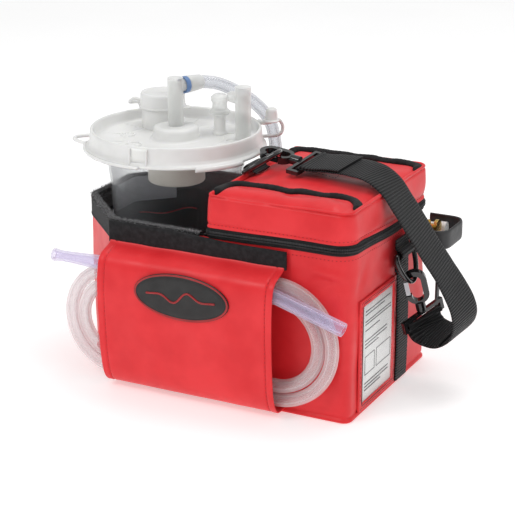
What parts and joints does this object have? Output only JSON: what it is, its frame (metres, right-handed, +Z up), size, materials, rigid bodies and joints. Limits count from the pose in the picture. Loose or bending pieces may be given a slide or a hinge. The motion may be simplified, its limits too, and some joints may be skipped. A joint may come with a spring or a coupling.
{
  "type": "suction pump",
  "caption": "Portable medical suction pump in a zipped red carrying case, with a clear collection canister, coiled suction tubing and a shoulder strap.",
  "frame": {"origin": "middle of the carrying case's footprint, on the floor", "axes": "+X right along the front, +Y to the back, +Z up"},
  "size_m": [0.3596, 0.2066, 0.249],
  "materials": {
    "red_fabric": "coated, satin",
    "black_lining": "matt",
    "hook_and_loop": "matt pile",
    "webbing": "ribbed weave",
    "zipper": "moulded coil on tape",
    "black_plastic": "glossy moulded",
    "black_metal": "powder coat",
    "badge_rubber": "satin, moulded",
    "brass": "turned",
    "chrome": "polished",
    "clear_tube": "clear flexible",
    "clear_cup": "clear moulded",
    "milky_plastic": "translucent natural",
    "grey_plastic": "satin",
    "blue_plastic": "glossy",
    "card": "matt",
    "seal_rubber": "matt",
    "module_plastic": "fine texture",
    "steel": "machined",
    "board_green": "laminate",
    "needle_red": "gloss"
  },
  "bodies": {
    "bag": {"bag_shell": "red_fabric", "pocket_lining": "black_lining", "divider_wall": "black_lining", "pocket_rim_band": "hook_and_loop", "zipper_lower": "zipper", "end_webbing": "webbing", "label_card": "card", "label_window": "clear_cup", "end_brackets": "black_metal", "brass_fittings": "brass", "white_port_cap": "milky_plastic", "switch_nut": "chrome", "right_web_tab": "webbing", "d_ring_right": "black_metal", "hook_right": "black_plastic", "hook_loop_right": "black_plastic", "suction_tubing": "clear_tube", "tube_tips": "clear_tube", "module_tray": "module_plastic", "module_cover": "module_plastic", "cover_screws": "steel", "battery": "module_plastic", "motor": "steel", "diaphragm": "seal_rubber", "pump_head": "steel", "connecting_rod": "steel", "circuit_board": "board_green", "gauge_body": "module_plastic"},
    "lid": {"bag_lid": "red_fabric", "zipper_upper": "zipper", "lid_piping": "webbing", "left_web_tab": "webbing", "d_ring_left": "black_metal", "hook_left": "black_plastic", "hook_loop_left": "black_plastic", "shoulder_strap": "webbing"},
    "flap": {"front_flap": "red_fabric", "flap_hook_band": "hook_and_loop", "badge": "badge_rubber"},
    "slider": {"zipper_slider": "black_metal"},
    "pull": {"zipper_pull": "black_metal"},
    "gate_a": {"gate_left": "black_plastic"},
    "gate_b": {"gate_right": "black_plastic"},
    "toggle": {"toggle_lever": "chrome"},
    "cup": {"canister_cup": "clear_cup", "vacuum_hose": "clear_tube"},
    "cap": {"canister_lid": "milky_plastic", "lid_gasket": "seal_rubber", "filter_housing": "grey_plastic", "tandem_port_cap": "milky_plastic", "port_plug": "milky_plastic", "pour_cap_tether": "milky_plastic"},
    "float": {"shutoff_float": "grey_plastic"},
    "pour": {"pour_cap": "milky_plastic"},
    "elbow_a": {"vacuum_elbow": "milky_plastic", "elbow_ring": "blue_plastic"},
    "elbow_b": {"patient_elbow": "milky_plastic"},
    "crank": {"motor_shaft": "steel"},
    "knob": {"regulator_knob": "module_plastic"},
    "needle": {"gauge_needle": "needle_red"}
  },
  "joints": [
    {"name": "lid_hinge", "type": "hinge", "parent": "bag", "child": "lid", "pos_m": [0.074, 0.0862, 0.15], "axis": [-1, 0, 0], "range_deg": [0, 100], "deforming": ["shoulder_strap"]},
    {"name": "front_flap_hinge", "type": "hinge", "parent": "bag", "child": "flap", "pos_m": [-0.007, -0.087, 0.004], "axis": [1, 0, 0], "range_deg": [0, 40]},
    {"name": "zipper_travel", "type": "slide", "parent": "lid", "child": "slider", "axis": [0, -1, 0], "range_m": [-0.03, 0.09]},
    {"name": "pull_tab_hinge", "type": "hinge", "parent": "slider", "child": "pull", "pos_m": [0.1442, 0.0384, 0.1445], "axis": [0, 0, 1], "range_deg": [0, 150]},
    {"name": "left_gate_hinge", "type": "hinge", "parent": "lid", "child": "gate_a", "pos_m": [0.02827, 0.00695, 0.18899], "axis": [-0.0792, 0.1188, -0.9898], "range_deg": [0, 10], "stiffness_Nm_per_rad": 0.02},
    {"name": "right_gate_hinge", "type": "hinge", "parent": "bag", "child": "gate_b", "pos_m": [0.14812, 0.01774, 0.08291], "axis": [-0.4239, 0.8872, 0.1824], "range_deg": [0, 10], "stiffness_Nm_per_rad": 0.02},
    {"name": "power_toggle", "type": "hinge", "parent": "bag", "child": "toggle", "pos_m": [0.1435, 0.062, 0.03], "axis": [0, 1, 0], "range_deg": [-12, 12]},
    {"name": "canister_lift", "type": "slide", "parent": "bag", "child": "cup", "axis": [0, 0, 1], "range_m": [0, 0.19], "deforming": ["vacuum_hose"]},
    {"name": "canister_lid_lift", "type": "slide", "parent": "cup", "child": "cap", "axis": [0, 0, 1], "range_m": [0, 0.008]},
    {"name": "float_travel", "type": "slide", "parent": "cap", "child": "float", "axis": [0, 0, 1], "range_m": [0, 0.012]},
    {"name": "pour_cap_lift", "type": "slide", "parent": "cap", "child": "pour", "axis": [0, 0, 1], "range_m": [0, 0.03], "deforming": ["pour_cap_tether"]},
    {"name": "vacuum_elbow_swivel", "type": "hinge", "parent": "cap", "child": "elbow_a", "pos_m": [-0.0745, 0.013, 0.22], "axis": [0, 0, 1], "range_deg": [-8, 8]},
    {"name": "patient_elbow_swivel", "type": "hinge", "parent": "cap", "child": "elbow_b", "pos_m": [-0.019, 0.035, 0.21], "axis": [0, 0, 1], "range_deg": [-150, 150]},
    {"name": "motor_shaft_spin", "type": "hinge", "parent": "bag", "child": "crank", "pos_m": [0.074, 0.03, 0.04], "axis": [0, 1, 0], "continuous": true},
    {"name": "regulator_knob_turn", "type": "hinge", "parent": "bag", "child": "knob", "pos_m": [0.1, -0.048, 0.112], "axis": [0, 0, -1], "range_deg": [0, 300]},
    {"name": "gauge_needle_turn", "type": "hinge", "parent": "bag", "child": "needle", "pos_m": [0.048, -0.046, 0.1105], "axis": [0, 0, -1], "range_deg": [0, 270]}
  ]
}
